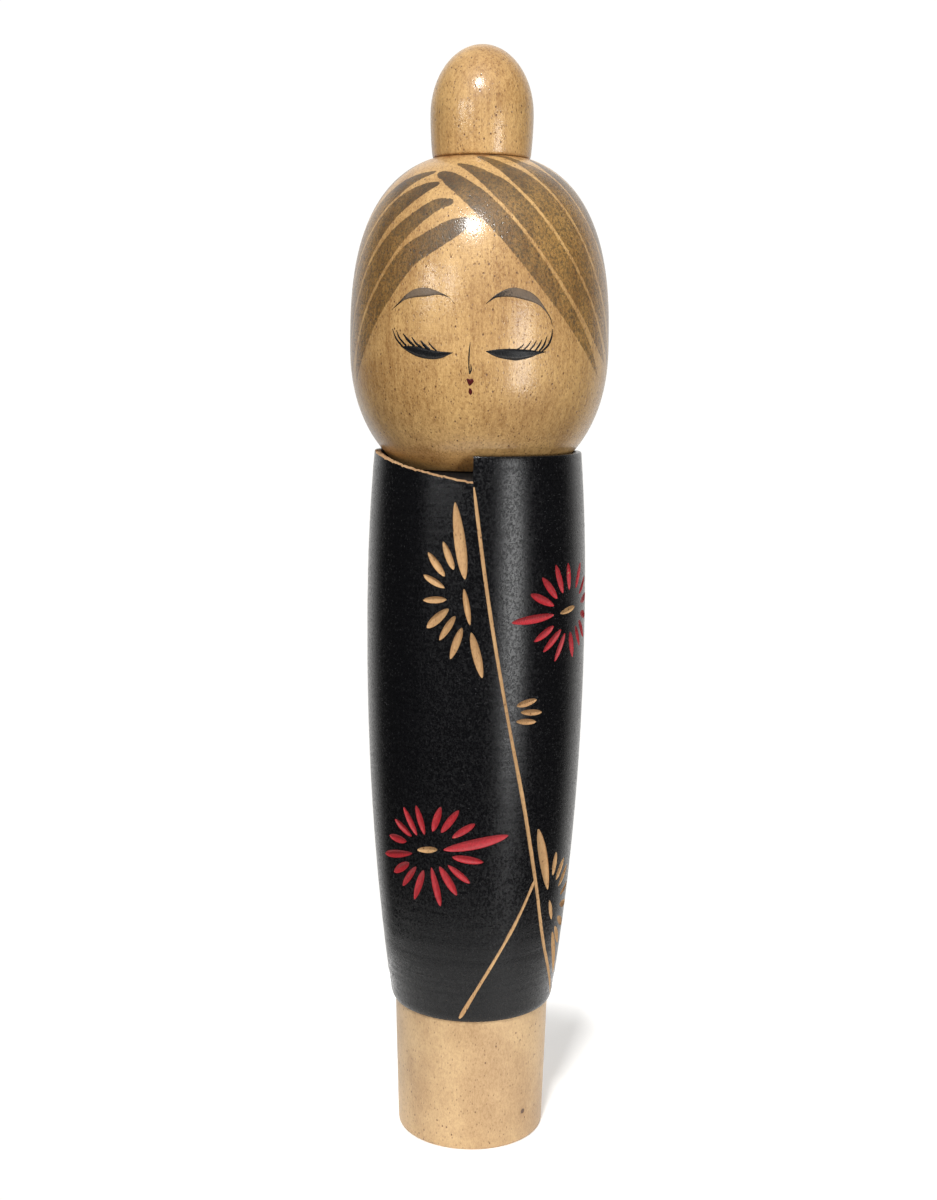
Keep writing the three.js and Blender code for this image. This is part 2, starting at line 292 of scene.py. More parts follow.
class Shader:
    """A material's node tree, with short ways to add to it."""

    def __init__(self, name):
        self.material = bpy.data.materials.new(name)
        self.material.use_nodes = True
        self.tree = self.material.node_tree
        self.tree.nodes.clear()
        self.surface = self.add("ShaderNodeBsdfPrincipled")
        output = self.add("ShaderNodeOutputMaterial")
        self.tree.links.new(self.surface.outputs[0], output.inputs["Surface"])
        where = self.add("ShaderNodeTexCoord").outputs["Object"]
        self.mm = self.stretched(where, (1 / MM, 1 / MM, 1 / MM))

    def add(self, kind, **settings):
        node = self.tree.nodes.new(kind)
        for key, value in settings.items():
            setattr(node, key, value)
        return node

    def put(self, node, socket, value):
        """Links a socket, or sets it to a constant."""
        if isinstance(value, bpy.types.NodeSocket):
            self.tree.links.new(value, node.inputs[socket])
        else:
            node.inputs[socket].default_value = value

    def stretched(self, vector, scale):
        node = self.add("ShaderNodeMapping")
        self.put(node, "Vector", vector)
        self.put(node, "Scale", scale)
        return node.outputs[0]

    def noise(self, scale, detail=2.0, roughness=0.5):
        """Noise with one feature in every 1/scale millimetres along each axis."""
        node = self.add("ShaderNodeTexNoise")
        self.put(node, "Vector", self.stretched(self.mm, scale))
        self.put(node, "Scale", 1.0)
        self.put(node, "Detail", detail)
        self.put(node, "Roughness", roughness)
        return node.outputs["Fac"]

    def flecks(self, scale, size, share):
        """Small dark marks, one in some of the cells of 1/scale millimetres: 1 in a mark, else 0."""
        node = self.add("ShaderNodeTexVoronoi")
        self.put(node, "Vector", self.stretched(self.mm, scale))
        self.put(node, "Scale", 1.0)
        near = self.ramp(node.outputs["Distance"], size, size * 0.35)
        pick = self.add("ShaderNodeSeparateColor")
        self.put(pick, "Color", node.outputs["Color"])
        chosen = self.math("LESS_THAN", pick.outputs[0], share)
        return self.math("MULTIPLY", near, chosen)

    def spot(self, angle, z, r, size):
        """1 at a place given by its angle from the front, height and radius, fading to 0 at its size."""
        turn = math.radians(angle)
        node = self.add("ShaderNodeVectorMath", operation="DISTANCE")
        self.put(node, 0, self.mm)
        self.put(node, 1, (r * math.sin(turn), -r * math.cos(turn), z))
        return self.ramp(node.outputs["Value"], size, size * 0.6)

    def height(self):
        """The height in millimetres."""
        node = self.add("ShaderNodeSeparateXYZ")
        self.put(node, 0, self.mm)
        return node.outputs[2]

    def math(self, operation, a, b=0.0, clamp=False):
        node = self.add("ShaderNodeMath", operation=operation, use_clamp=clamp)
        self.put(node, 0, a)
        self.put(node, 1, b)
        return node.outputs[0]

    def ramp(self, value, low, high):
        """0 at low, 1 at high, clamped; high may be below low."""
        node = self.add("ShaderNodeMapRange", interpolation_type="SMOOTHSTEP")
        self.put(node, "Value", value)
        self.put(node, "From Min", low)
        self.put(node, "From Max", high)
        if high < low:
            self.put(node, "From Min", high)
            self.put(node, "From Max", low)
            self.put(node, "To Min", 1.0)
            self.put(node, "To Max", 0.0)
        return node.outputs["Result"]

    def mix(self, share, a, b):
        node = self.add("ShaderNodeMix", data_type="RGBA")
        self.put(node, 0, share)
        self.put(node, 6, a)
        self.put(node, 7, b)
        return node.outputs[2]

    def darken(self, share, colour, by):
        """The colour multiplied by another where share is 1."""
        node = self.add("ShaderNodeMix", data_type="RGBA", blend_type="MULTIPLY")
        self.put(node, 0, share)
        self.put(node, 6, colour)
        self.put(node, 7, by)
        return node.outputs[2]

    def bump(self, height, depth, normal=None):
        """Bump from a 0 to 1 height that stands for a depth in millimetres."""
        node = self.add("ShaderNodeBump")
        self.put(node, "Height", height)
        self.put(node, "Distance", depth * MM)
        if normal is not None:
            self.put(node, "Normal", normal)
        return node.outputs[0]


def colour(red, green, blue):
    """A linear colour from 0 to 255 screen values."""
    return [((c / 255 + 0.055) / 1.055) ** 2.4 for c in (red, green, blue)] + [1.0]


WOOD_LIGHT = colour(212, 171, 110)
WOOD_DARK = colour(146, 104, 54)
WOOD_FLECK = colour(92, 56, 26)
CUT_LIGHT = colour(198, 160, 112)
CUT_DARK = colour(158, 119, 78)
FOOT_LIGHT = colour(199, 167, 122)
FOOT_DARK = colour(158, 124, 84)


def wood(shader, light, dark, fleck, fleck_share, streakiness=0.25, cloudiness=0.35):
    """Fine vertical grain, mottled, with pores: a colour, the pores, and the grain's height."""
    streaks = shader.ramp(shader.noise((1.1, 1.1, 0.05), 3, 0.6), 0.35, 0.68)
    clouds = shader.ramp(shader.noise((0.07, 0.07, 0.05), 3, 0.6), 0.38, 0.66)
    mottle = shader.ramp(shader.noise((1.9, 1.9, 1.1), 4, 0.8), 0.42, 0.64)
    fine = shader.ramp(shader.noise((4.5, 4.5, 1.6), 2, 0.7), 0.35, 0.7)
    tone = shader.math("MULTIPLY", streaks, streakiness)
    tone = shader.math("ADD", tone, shader.math("MULTIPLY", clouds, cloudiness))
    tone = shader.math("ADD", tone, shader.math("MULTIPLY", mottle, 0.35))
    tone = shader.math("ADD", tone, shader.math("MULTIPLY", fine, 0.25), clamp=True)
    base = shader.mix(tone, light, dark)
    pores = shader.flecks((1.9, 1.9, 0.9), 0.34, fleck_share)
    specks = shader.flecks((0.9, 0.9, 0.6), 0.22, fleck_share * 0.6)
    marks = shader.math("MAXIMUM", shader.math("MULTIPLY", pores, 0.6), specks)
    return shader.mix(marks, base, fleck), marks, fine


def wood_relief(shader, marks, fine, pore_depth, fine_depth):
    """Pores sunk in the wood, fine fibres, and a few lathe rings."""
    rings = shader.noise((0.08, 0.08, 5.0), 2, 0.6)
    pores = shader.bump(shader.math("SUBTRACT", 1.0, marks), pore_depth)
    fibres = shader.bump(fine, fine_depth, pores)
    return shader.bump(rings, fine_depth * 0.8, fibres)


WOOD_ROUGHNESS = 0.5     # of the wood under any clear coat
HEAD_COAT = 0.6
HEAD_COAT_ROUGHNESS = 0.17


def varnish(shader, coat, coat_roughness, marks, fine):
    """A clear coat that half fills the wood's relief."""
    shader.put(shader.surface, "Roughness", WOOD_ROUGHNESS)
    shader.put(shader.surface, "Coat Weight", coat)
    shader.put(shader.surface, "Coat Roughness", coat_roughness)
    shader.put(shader.surface, "Normal", wood_relief(shader, marks, fine, 0.06, 0.03))
    shader.put(shader.surface, "Coat Normal", wood_relief(shader, marks, fine, 0.03, 0.006))


def varnished_wood():
    """The bun's wood, under a worn clear varnish."""
    shader = Shader("varnished_wood")
    tint, marks, fine = wood(shader, WOOD_LIGHT, WOOD_DARK, WOOD_FLECK, 0.6)
    shader.put(shader.surface, "Base Color", tint)
    varnish(shader, HEAD_COAT, HEAD_COAT_ROUGHNESS, marks, fine)
    return shader.material


def head_wood():
    """The head's varnished wood with the hair brushed on: an ink wash that leaves the grain to show."""
    shader = Shader("head_wood")
    tint, marks, fine = wood(shader, WOOD_LIGHT, WOOD_DARK, WOOD_FLECK, 0.6)
    edge = shader.add("ShaderNodeAttribute", attribute_name="hair_mm").outputs["Fac"]
    ragged = shader.math("SUBTRACT", shader.noise((1.6, 1.6, 1.6), 3, 0.6), 0.5)
    ragged = shader.math("MULTIPLY", ragged, 0.5)
    washed = shader.ramp(shader.math("ADD", edge, ragged), 0.12, -0.12)
    speckle = shader.ramp(shader.noise((1.7, 1.7, 1.5), 4, 0.85), 0.47, 0.57)
    along = shader.add("ShaderNodeAttribute", attribute_name="hair_along").outputs["Fac"]
    cloud = shader.math("SUBTRACT", shader.noise((0.13, 0.13, 0.1), 3, 0.6), 0.5)
    load = shader.math("SUBTRACT", shader.math("ADD", cloud, 0.55), along)
    wet = shader.ramp(load, -0.2, 0.6)
    ink = shader.mix(wet, colour(214, 206, 178), colour(120, 110, 87))
    inked = shader.darken(1.0, tint, ink)
    inked = shader.mix(shader.math("MULTIPLY", speckle, 0.68), inked, colour(58, 50, 30))
    tint = shader.mix(washed, tint, inked)
    uneven = shader.math("MULTIPLY", shader.noise((0.5, 0.5, 0.5), 3, 0.6), 4.0)
    stain = shader.ramp(shader.math("ADD", shader.height(), uneven), CROWN_Z + 0.6, CROWN_Z + 2.6)
    shader.put(shader.surface, "Base Color", shader.darken(stain, tint, colour(176, 140, 98)))
    varnish(shader, HEAD_COAT, HEAD_COAT_ROUGHNESS, marks, fine)
    return shader.material


KNOT_ANGLE = 48.6
KNOT_Z = 7.5
KNOT_R = 0.75


def foot_wood():
    """Bare wood rubbed smooth by handling, with a pin knot."""
    shader = Shader("foot_wood")
    tint, marks, fine = wood(shader, FOOT_LIGHT, FOOT_DARK, WOOD_FLECK, 0.3, 0.05, 0.5)
    knot = shader.spot(KNOT_ANGLE, KNOT_Z, foot_radius(KNOT_Z), KNOT_R)
    ring = shader.spot(KNOT_ANGLE, KNOT_Z, foot_radius(KNOT_Z), KNOT_R * 2.4)
    tint = shader.mix(shader.math("MULTIPLY", ring, 0.35), tint, colour(150, 112, 68))
    tint = shader.mix(knot, tint, colour(84, 54, 30))
    shader.put(shader.surface, "Base Color", tint)
    marks = shader.math("MAXIMUM", marks, knot)
    varnish(shader, 0.25, 0.35, marks, fine)
    return shader.material


def cut_wood(name, light, dark):
    """Bare wood where a gouge or a saw has gone through the paint."""
    shader = Shader(name)
    tint, marks, fine = wood(shader, light, dark, WOOD_FLECK, 0.4)
    shader.put(shader.surface, "Base Color", tint)
    shader.put(shader.surface, "Roughness", 0.7)
    shader.put(shader.surface, "Normal", wood_relief(shader, marks, fine, 0.05, 0.04))
    return shader.material


def kimono_paint(name):
    """Black stain over turned wood: satin, with fine rings and a dusting of pores, whose light flecks are
    partly painted glints.
    """
    shader = Shader(name)
    rings = shader.noise((0.05, 0.05, 6.0), 3, 0.7)
    grain = shader.noise((5.0, 5.0, 2.2), 3, 0.7)
    worn = shader.ramp(shader.noise((0.5, 0.5, 0.9), 4, 0.7), 0.62, 0.8)
    base = shader.mix(shader.ramp(rings, 0.35, 0.7), colour(7, 7, 9), colour(14, 14, 16))
    base = shader.mix(shader.math("MULTIPLY", worn, 0.3), base, colour(40, 39, 40))
    shader.put(shader.surface, "Specular IOR Level", 0.3)
    dust_and_glints = shader.flecks((2.6, 2.6, 2.0), 0.34, 0.3)
    matt = shader.ramp(shader.noise((1.7, 1.7, 1.4), 4, 0.85), 0.44, 0.6)
    rough = shader.math("ADD", 0.13, shader.math("MULTIPLY", matt, 0.26))
    rough = shader.math("ADD", rough, shader.math("MULTIPLY", grain, 0.06))
    shader.put(shader.surface, "Roughness", rough)
    shader.put(shader.surface, "Anisotropic", 0.5)
    shader.put(shader.surface, "Anisotropic Rotation", 0.25)
    # Light flecks, partly a dusting in the pores and partly painted glints of the sheen.
    base = shader.mix(shader.math("MULTIPLY", dust_and_glints, 0.35), base, colour(66, 66, 68))
    shader.put(shader.surface, "Base Color", base)
    coarse = shader.noise((2.2, 2.2, 1.7), 3, 0.8)
    fine = shader.bump(dust_and_glints, 0.03, shader.bump(coarse, 0.03))
    shader.put(shader.surface, "Normal", shader.bump(rings, 0.025, fine))
    return shader.material


def petal_paint():
    """Red paint brushed into the gouged petals, thin enough for the wood to show at places."""
    shader = Shader("petal_paint")
    tint, marks, fine = wood(shader, CUT_LIGHT, CUT_DARK, WOOD_FLECK, 0.4)
    streak = shader.noise((2.5, 2.5, 1.2), 3, 0.6)
    red = shader.mix(shader.ramp(streak, 0.3, 0.7), colour(176, 36, 44), colour(146, 26, 36))
    thin = shader.ramp(shader.noise((0.7, 0.7, 0.7), 3, 0.6), 0.70, 0.76)
    shader.put(shader.surface, "Base Color", shader.mix(thin, red, tint))
    shader.put(shader.surface, "Roughness", 0.5)
    shader.put(shader.surface, "Normal", wood_relief(shader, marks, fine, 0.04, 0.04))
    return shader.material


def well_painted_shade():
    """Painted shade: a dark colour for the inside of the collar, where shade falls, also put on the
    head's neck and underside.
    """
    shader = Shader("well_painted_shade")
    grain = shader.noise((2.0, 2.0, 0.6), 3, 0.7)
    base = shader.mix(shader.ramp(grain, 0.3, 0.7), colour(30, 26, 24), colour(52, 42, 34))
    shader.put(shader.surface, "Base Color", base)
    shader.put(shader.surface, "Roughness", 0.75)
    shader.put(shader.surface, "Normal", shader.bump(grain, 0.05))
    return shader.material


def ink(name, pigment, wash):
    """Face paint under the varnish. The ink attribute says how thick it lies."""
    shader = Shader(name)
    tint, marks, fine = wood(shader, WOOD_LIGHT, WOOD_DARK, WOOD_FLECK, 0.6)
    thick = shader.add("ShaderNodeAttribute", attribute_name="ink").outputs["Fac"]
    mottle = shader.noise((3.5, 3.5, 3.0), 3, 0.7)
    patchy = shader.math("MULTIPLY", shader.math("SUBTRACT", mottle, 0.5), 0.9)
    cover = shader.ramp(shader.math("ADD", thick, patchy), 0.3, 0.75)
    washed = shader.mix(0.5, shader.darken(1.0, tint, wash), wash)
    shader.put(shader.surface, "Base Color", shader.mix(cover, washed, pigment))
    shader.put(shader.surface, "Specular IOR Level", 0.2)
    varnish(shader, 0.12, 0.2, marks, fine)
    return shader.material


# Body

GOUGE_DEPTH = 0.7
GOUGE_WIDTH = 1.8
GOUGE_FULLNESS = 0.62    # lower gives a petal blunter ends
CENTRE_WIDTH = 1.5
PETAL_LENGTH = 7.5       # a common one, which gets the gouge's plain width
NATURAL, RED = 0, 1

# A flower has its centre's angle and height, the length and slope of the stroke there, and its
# petals as root x, root z, tip x, tip z from that centre, in millimetres round the kimono.
FLOWERS = [
    {"paint": NATURAL, "angle": -1, "z": 129, "centre": (8, -80),
     "petals": [(-0.5, 6, -3, 22.5), (-3, 8, -5.5, 14), (-5, 6.5, -9, 11.5), (-5, 4, -10, 6.5),
                (-4.5, 1.5, -10, 1), (-4, -0.5, -9, -5), (-2.5, -2, -6, -7.5), (-1, -4.5, -3.5, -11.5),
                (1, -5.5, 3.5, -15.5)]},
    {"paint": RED, "angle": 58, "z": 127, "centre": (6, 8),
     "petals": [(-5, -0.5, -16, -1.5), (-5, 1.5, -11.5, 4.5), (-4, 3, -8.5, 8), (-2, 4, -4.5, 10.5),
                (0.5, 4.5, 0, 10.5), (3.5, 4.5, 6.5, 10), (5.5, 3, 11, 6.5), (6.5, 1, 13, 2),
                (6.5, -1.5, 12.5, -3), (5.5, -3, 10, -7.5), (3.5, -4, 6.5, -9), (1, -5, 2.5, -11),
                (-1, -5, -4.5, -11), (-2.5, -4, -8, -8.5), (-5, -3, -10.5, -6)]},
    {"paint": RED, "angle": -22.5, "z": 73.5, "centre": (5.2, 10),
     "petals": [(-4, -1.5, -14, -4), (-5.5, 1, -11.5, 1), (-4, 2.5, -9, 5.5), (-2.5, 3, -6, 9),
                (-0.5, 3.5, -2.5, 10), (1.5, 4.5, 3.5, 10.5), (3.5, 4.5, 7.5, 10), (6, 3.5, 11, 7),
                (4, 0.5, 18.5, 4), (6, -1, 13, -2), (5, -3, 10, -7), (3, -3.5, 7, -10),
                (1, -4, 3, -13), (-1, -5, -4, -12.5), (-3, -4.5, -7.5, -10), (-5, -4, -10.5, -7.5)]},
    {"paint": NATURAL, "angle": 58, "z": 57, "centre": (5.5, -70),
     "petals": [(-2, 5.5, -6.5, 21), (-0.5, 8.5, 0, 14), (1, 7, 4, 11.5), (2.5, 5, 7, 9),
                (4, 2.5, 10, 4), (4.5, 0, 11, -1.5), (4, -3, 9.5, -6.5), (3, -5, 7.5, -10.5),
                (2, -6, 7.5, -18)]},
]
SPARE_STROKES = {"angle": 33, "z": 105,
                 "strokes": [(1.5, 3, -3.5, 2), (3, 0, -2.5, 0.5), (1.5, -2, -3.5, -1.5)]}
SEAM = [(1.1, 156.6), (10, 129), (20, 105), (31, 84), (41.5, 66), (55, 48.5), (79, 33)]
SECOND_SEAM = [(41.5, 66), (31, 57), (18, 47.7), (-5.4, 32.3)]
SEAM_R = 0.66
SEAM_PROUD = 0.5
SEAM_POINT = 0.05        # share of its length over which each end runs out
SEAM_START = 0.15        # how far in from its very end a seam first shows
SEAM_WAVERS = 14

COLLAR_CUT_Z = 155.4
COLLAR_CUT_SIDE_SLOPE = 0.158    # rise towards the doll's right
COLLAR_CUT_BACK_SLOPE = 0.1      # rise towards the back
COLLAR_STEP_X = 0.5
SAW_ROUGHNESS = 0.07
OFFCUT_REACH = 1.2       # the offcut's block goes this much past the kimono, sideways
OFFCUT_ABOVE = 20        # and this far over the rim

PAINT_SLOT, FOOT_SLOT, WELL_SHADE_SLOT, CARVED_SLOT, RED_SLOT, SAWN_SLOT = range(6)


class Cutter:
    """Closed shells that will be cut from the body, each with a material slot."""

    def __init__(self):
        self.points, self.faces, self.slots = [], [], []

    def shell(self, rings, slot):
        """A closed shell from rings of points, with a single point at each end."""
        first = len(self.points)
        around = len(rings[1])
        for ring in rings:
            self.points += [tuple(point) for point in ring]
        start, end = first, len(self.points) - 1
        count = len(rings) - 2
        body = first + 1
        for i in range(around):
            j = (i + 1) % around
            self.faces.append((start, body + j, body + i))
            last = body + (count - 1) * around
            self.faces.append((end, last + i, last + j))
            for k in range(count - 1):
                low, high = body + k * around, body + (k + 1) * around
                self.faces.append((low + i, low + j, high + j, high + i))
        self.slots += [slot] * (len(self.faces) - len(self.slots))

    def cut(self, target, name):
        """Takes the shells out of the target, whose slots they share."""
        tool = mesh_object(name, self.points, self.faces, list(target.data.materials), self.slots)
        cut_out(target, tool)


def cut_out(target, tool):
    """Takes one closed mesh out of another and throws the tool away."""
    modifier = target.modifiers.new(tool.name, "BOOLEAN")
    modifier.operation = "DIFFERENCE"
    modifier.solver = "MANIFOLD"
    modifier.object = tool
    bpy.context.view_layer.update()
    result = target.evaluated_get(bpy.context.evaluated_depsgraph_get())
    mesh = bpy.data.meshes.new_from_object(result)
    target.modifiers.clear()
    target.data = mesh
    bpy.data.objects.remove(tool)


def gouge(cutter, angle, z, stroke, width, slot):
    """One push of a gouge: a boat-shaped cut that follows the kimono's roundness."""
    root_x, root_z, tip_x, tip_z = stroke
    length = math.hypot(tip_x - root_x, tip_z - root_z)
    slope = math.atan2(tip_z - root_z, tip_x - root_x)
    degrees_per_mm = math.degrees(1 / kimono_radius(z))
    width *= RANDOM.uniform(0.9, 1.12)
    depth = GOUGE_DEPTH * RANDOM.uniform(0.85, 1.1)
    fullest = RANDOM.uniform(-0.12, 0.12)
    lean = RANDOM.uniform(-0.15, 0.15)
    rings = []
    steps, around = 22, 14
    for k in range(steps + 1):
        t = -math.cos(k / steps * math.pi)
        full = max(0.0, 1 - t * t) ** GOUGE_FULLNESS * (1 + fullest * t)
        ring = []
        for i in range(around if 0 < k < steps else 1):
            turn = i / around * 2 * math.pi
            along = t * length / 2
            across = math.cos(turn) * full * width / 2
            out = math.sin(turn) * full * depth + across * lean
            x = (root_x + tip_x) / 2 + along * math.cos(slope) - across * math.sin(slope)
            up = (root_z + tip_z) / 2 + along * math.sin(slope) + across * math.cos(slope)
            ring.append(on_surface(kimono_radius, angle + x * degrees_per_mm, z + up, out))
        rings.append(ring)
    cutter.shell(rings, slot)


def seam(cutter, places):
    """A groove along a path on the kimono, drawn with an unsteady V tool."""
    steps, around = 90, 12
    path = smooth_path(places, steps + 1)
    wobble = smooth_path(RANDOM.uniform(-0.07, 0.09, size=(SEAM_WAVERS, 1)), steps + 1)[:, 0]
    centres = np.array([on_surface(kimono_radius, a, z, SEAM_PROUD) for a, z in path])
    rings = []
    for k, centre in enumerate(centres):
        if k in (0, steps):
            rings.append([centre])
            continue
        ahead = centres[k + 1] - centres[k - 1]
        ahead /= np.linalg.norm(ahead)
        out = np.array([centre[0], centre[1], 0.0])
        out /= np.linalg.norm(out)
        side = np.cross(ahead, out)
        out = np.cross(side, ahead)
        from_end = min(k, steps - k) / steps
        r = SEAM_PROUD + (SEAM_R + wobble[k] - SEAM_PROUD) * min(1, SEAM_START + from_end / SEAM_POINT)
        turns = [i / around * 2 * math.pi for i in range(around)]
        rings.append([centre + r * (side * math.cos(t) - out * math.sin(t)) for t in turns])
    cutter.shell(rings, CARVED_SLOT)


def collar_offcut():
    """The block that a slanted saw cut takes from the collar's front, with the saw's rough face below."""
    count = 90
    reach = KIMONO_MAX_R * OFFCUT_REACH
    xs = COLLAR_STEP_X - np.linspace(0, reach, count)
    ys = -np.linspace(reach, 0, count)
    points, faces, slots = [], [], []
    rough = RANDOM.normal(size=(count, count)) * SAW_ROUGHNESS * 0.5
    strokes = RANDOM.normal(size=count) * SAW_ROUGHNESS
    for i, x in enumerate(xs):
        for j, y in enumerate(ys):
            slant = COLLAR_CUT_SIDE_SLOPE * (COLLAR_STEP_X - x)
            slant += COLLAR_CUT_BACK_SLOPE * (y + KIMONO_MAX_R)
            edge = 0 < i < count - 1 and 0 < j < count - 1
            z = COLLAR_CUT_Z + slant + (rough[i, j] + strokes[i]) * edge
            points.append((x, y, z))
    for i in range(count - 1):
        for j in range(count - 1):
            a = i * count + j
            faces.append((a, a + count, a + count + 1, a + 1))
    border = list(range(count))
    border += [i * count + count - 1 for i in range(1, count)]
    border += [(count - 1) * count + j for j in range(count - 2, -1, -1)]
    border += [i * count for i in range(count - 2, 0, -1)]
    top = len(points)
    for a in border:
        points.append((points[a][0], points[a][1], RIM_Z + OFFCUT_ABOVE))
    for k in range(len(border)):
        n = (k + 1) % len(border)
        faces.append((border[k], border[n], top + n, top + k))
    faces.append(tuple(top + k for k in range(len(border))))
    return points, faces, [SAWN_SLOT] * len(faces)


def body_slots(points, faces):
    """Foot, painted kimono and the well's painted shade, from where each face lies."""
    slots = []
    well_r = kimono_radius(RIM_Z) - RIM_WALL + RIM_EDGE
    for face in faces:
        middle = np.mean([points[i] for i in face], axis=0)
        r = math.hypot(middle[0], middle[1])
        if middle[2] < KIMONO_BOTTOM_Z - 0.005:
            slots.append(FOOT_SLOT)
        # painted shade: the inside of the well takes the dark colour
        elif r < well_r and r < kimono_radius(middle[2]) - RIM_EDGE:
            slots.append(WELL_SHADE_SLOT)
        else:
            slots.append(PAINT_SLOT)
    return slots


def make_body():
    points, faces = turned(body_outline(), BODY_STEPS)
    materials = [kimono_paint("kimono_paint"), foot_wood(), well_painted_shade(),
                 cut_wood("carved_wood", CUT_LIGHT, CUT_DARK), petal_paint(),
                 cut_wood("sawn_wood", colour(214, 178, 134), colour(176, 134, 94))]
    body = mesh_object("kimono_body", points, faces, materials, body_slots(points, faces))
    points, faces, slots = collar_offcut()
    offcut = mesh_object("collar_offcut", points, faces, materials, slots)
    cut_out(body, offcut)
    for places in (SEAM, SECOND_SEAM):
        cutter = Cutter()
        seam(cutter, places)
        cutter.cut(body, "seam")
    petals = Cutter()
    for flower in FLOWERS:
        slot = RED_SLOT if flower["paint"] == RED else CARVED_SLOT
        length, slope = flower["centre"]
        x = length / 2 * math.cos(math.radians(slope))
        z = length / 2 * math.sin(math.radians(slope))
        gouge(petals, flower["angle"], flower["z"], (-x, -z, x, z), CENTRE_WIDTH, CARVED_SLOT)
        for petal in flower["petals"]:
            longer = math.hypot(petal[2] - petal[0], petal[3] - petal[1]) / PETAL_LENGTH - 1
            width = GOUGE_WIDTH * (1 + 0.25 * longer + RANDOM.uniform(-0.07, 0.07))
            gouge(petals, flower["angle"], flower["z"], petal, width, slot)
    for stroke in SPARE_STROKES["strokes"]:
        gouge(petals, SPARE_STROKES["angle"], SPARE_STROKES["z"], stroke, CENTRE_WIDTH, CARVED_SLOT)
    petals.cut(body, "petals")
    body.data.polygons.foreach_set("use_smooth", np.ones(len(body.data.polygons), dtype=bool))
    body.data.set_sharp_from_angle(angle=math.radians(BODY_SHARP))
    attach(body, "trunk")
    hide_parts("body")
    return body


# Head and bun

LOCK_GAP = 0.75          # bare wood left between two locks that meet
FAR_FROM_HAIR = 5.0      # given to every place at least this far from a lock
LOCK_STEPS = 70
LOCK_TIP = 0.05          # the half width that a lock is never thinner than
BACK_LOCKS = 12
BACK_FIRST_TIP = 108
BACK_TIP_STEP = 12.2
BACK_LEAN = 50

# A plain back lock, from crown to tip: share of its lean, height and half width
BACK_LOCK = [(0, 224.2, 1.0), (0.1, 221.5, 2.2), (0.3, 215, 3.1), (0.55, 205, 3.3), (0.8, 192, 2.8),
             (0.95, 181, 1.8), (1, 173, 0.1)]

# Each front lock is one brush stroke: angle from the face's middle, height and half width
LOCKS = [
    [(-22.5, 220.4, 1.0), (-15, 219.3, 1.8), (-5, 216.9, 2.2), (5, 213.5, 2.55), (15, 208.9, 2.45),
     (25, 203.1, 2.35), (35, 196.9, 2.1), (45, 191, 1.8), (55, 185.4, 1.4), (62, 181.3, 0.8),
     (68.5, 178, 0.1)],
    [(-14, 222.7, 0.35), (-5, 221.8, 1.05), (5, 219.9, 1.7), (15, 217, 2.55), (25, 212.6, 2.8),
     (35, 206.5, 2.95), (45, 199.9, 2.85), (55, 193.2, 2.4), (65, 186.7, 1.7), (71, 183.2, 0.9),
     (75.5, 181, 0.1)],
    [(2, 224.5, 0.7), (12, 223.4, 1.2), (22, 221.4, 1.9), (30, 219, 2.8), (40, 214.3, 3.4),
     (50, 207.6, 3.5), (60, 199.1, 2.85), (70, 190.8, 2.1), (78, 184.5, 1.2), (84, 179.5, 0.1)],
    [(14, 225.1, 0.65), (28, 224.5, 0.9), (38, 222.9, 1.4), (46, 220.9, 2.3), (55, 216.5, 3.1),
     (65, 207.5, 3.2), (76, 196.8, 2.7), (86, 186.5, 1.8), (96, 175.5, 0.1)],
    [(-3.5, 209.8, 1.2), (-10, 208.4, 2.1), (-20, 205.7, 2.4), (-30, 202.7, 2.6), (-40, 196.9, 2.6),
     (-50, 190.6, 2.4), (-58, 184.3, 1.9), (-64, 179.5, 1.0), (-67.5, 176.5, 0.1)],
    [(-12.5, 214.1, 0.9), (-20, 213.4, 1.5), (-30, 210.3, 1.9), (-40, 206.2, 2.4), (-50, 200.2, 2.8),
     (-60, 192.6, 2.5), (-67, 186.5, 2.1), (-73, 180, 1.2), (-77, 175, 0.1)],
    [(-22.5, 218.2, 0.7), (-30, 217.2, 1.5), (-40, 214.9, 2.3), (-50, 211.2, 2.8), (-60, 204.4, 3.0),
     (-70, 194.4, 2.7), (-77, 186, 2.1), (-82, 179.5, 1.2), (-86, 174.5, 0.1)],
    [(-29, 220.9, 0.5), (-40, 219.9, 1.3), (-50, 217.9, 2.2), (-60, 214, 2.8), (-70, 207, 3.0),
     (-80, 197.4, 2.8), (-88, 187, 2.2), (-95, 176, 0.1)],
]


def all_locks():
    """The front locks, then plain ones that carry the hair on round the back."""
    locks = list(LOCKS)
    for k in range(BACK_LOCKS):
        lean = BACK_LEAN * (1 - 2 * k / (BACK_LOCKS - 1))
        start = BACK_FIRST_TIP + BACK_TIP_STEP * k - lean
        locks.append([(start + lean * share, z, width) for share, z, width in BACK_LOCK])
    return locks


def brushed_hair(points):
    """For each point, how far it is outside the hair, negative inside, and how far along its lock."""
    nearest, second = np.full((2, len(points)), FAR_FROM_HAIR)
    along = np.zeros(len(points))
    for lock in all_locks():
        path = smooth_path(lock, LOCK_STEPS)
        away, place = np.full(len(points), FAR_FROM_HAIR), np.zeros(len(points))
        for k, (angle, z, width) in enumerate(path):
            centre = on_surface(head_radius, angle, z)
            reach = np.linalg.norm(points - centre, axis=1) - max(width, LOCK_TIP)
            closer = reach < away
            away[closer] = reach[closer]
            place[closer] = k / (len(path) - 1)
        closer = away < nearest
        second = np.where(closer, nearest, np.minimum(second, away))
        along = np.where(closer, place, along)
        nearest = np.minimum(nearest, away)
    return np.maximum(nearest, (LOCK_GAP - (second - nearest)) / 2), along


